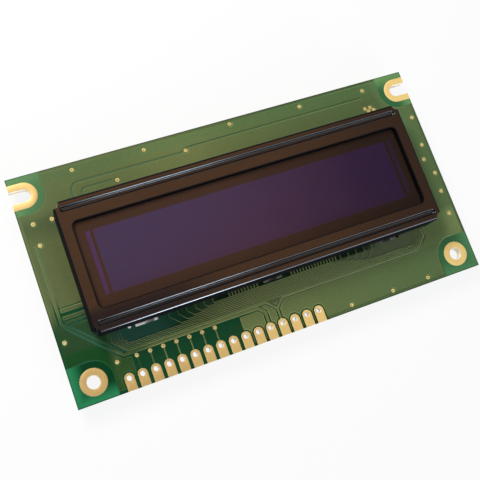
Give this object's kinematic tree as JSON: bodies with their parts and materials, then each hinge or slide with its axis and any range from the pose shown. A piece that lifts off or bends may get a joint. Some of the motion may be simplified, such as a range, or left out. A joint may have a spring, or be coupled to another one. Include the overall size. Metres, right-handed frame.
{
  "type": "character oled module",
  "caption": "Character OLED display module: dark glass panel under a folded black metal bezel on a green circuit board with gold header pads and corner mounting holes.",
  "frame": {"origin": "under the middle of the board, on the plane of the tips of the bezel's tabs", "axes": "+X along the board to the right as seen from the display side, +Y up the board away from the header, +Z out of the display"},
  "size_m": [0.084, 0.044, 0.0088],
  "materials": {
    "laminate": "green solder mask on glass-fibre laminate",
    "masked_copper": "copper under green solder mask",
    "gold": "gold plated",
    "bezel_coat": "black coated steel sheet",
    "polarizer": "dark circular polarizer film",
    "glass": "clear",
    "field_film": "thin film",
    "side_film": "thin film",
    "cathode": "evaporated",
    "seal": "cured adhesive",
    "desiccant": "matt",
    "elastomer": "layered silicone",
    "frame_plastic": "moulded",
    "foam": "closed cell foam",
    "epoxy": "cured potting epoxy",
    "chip_plastic": "moulded epoxy",
    "ferrite": "sintered",
    "copper_wire": "enamelled copper wire",
    "tin": "tinned",
    "capacitor_body": "fired ceramic",
    "resistor_body": "overglaze"
  },
  "bodies": {
    "root": {"circuit_board": "laminate", "front_copper": "masked_copper", "back_copper": "masked_copper", "header_pads": "gold", "mount_rings": "gold", "slot_rims": "gold", "via_dots": "gold", "contact_fingers": "gold", "bezel": "bezel_coat", "polarizer": "polarizer", "display_glass": "glass", "anode_columns": "field_film", "organic_layer": "field_film", "cathode_rows": "cathode", "side_electrodes": "side_film", "glass_seal": "seal", "rear_glass": "glass", "desiccant_sheet": "desiccant", "upper_zebra": "elastomer", "lower_zebra": "elastomer", "spacer_frame": "frame_plastic", "foam_strips": "foam", "controller_glob": "epoxy", "boost_chip": "chip_plastic", "boost_chip_leads": "tin", "inductor_shield": "ferrite", "inductor_drum": "ferrite", "inductor_winding": "copper_wire", "inductor_terminals": "tin", "diode_body": "chip_plastic", "diode_leads": "tin", "ceramic_capacitors": "capacitor_body", "chip_resistors": "resistor_body", "chip_end_caps": "tin", "solder_fillets": "tin", "component_pads": "tin", "jumper_pads": "gold"}
  },
  "joints": []
}
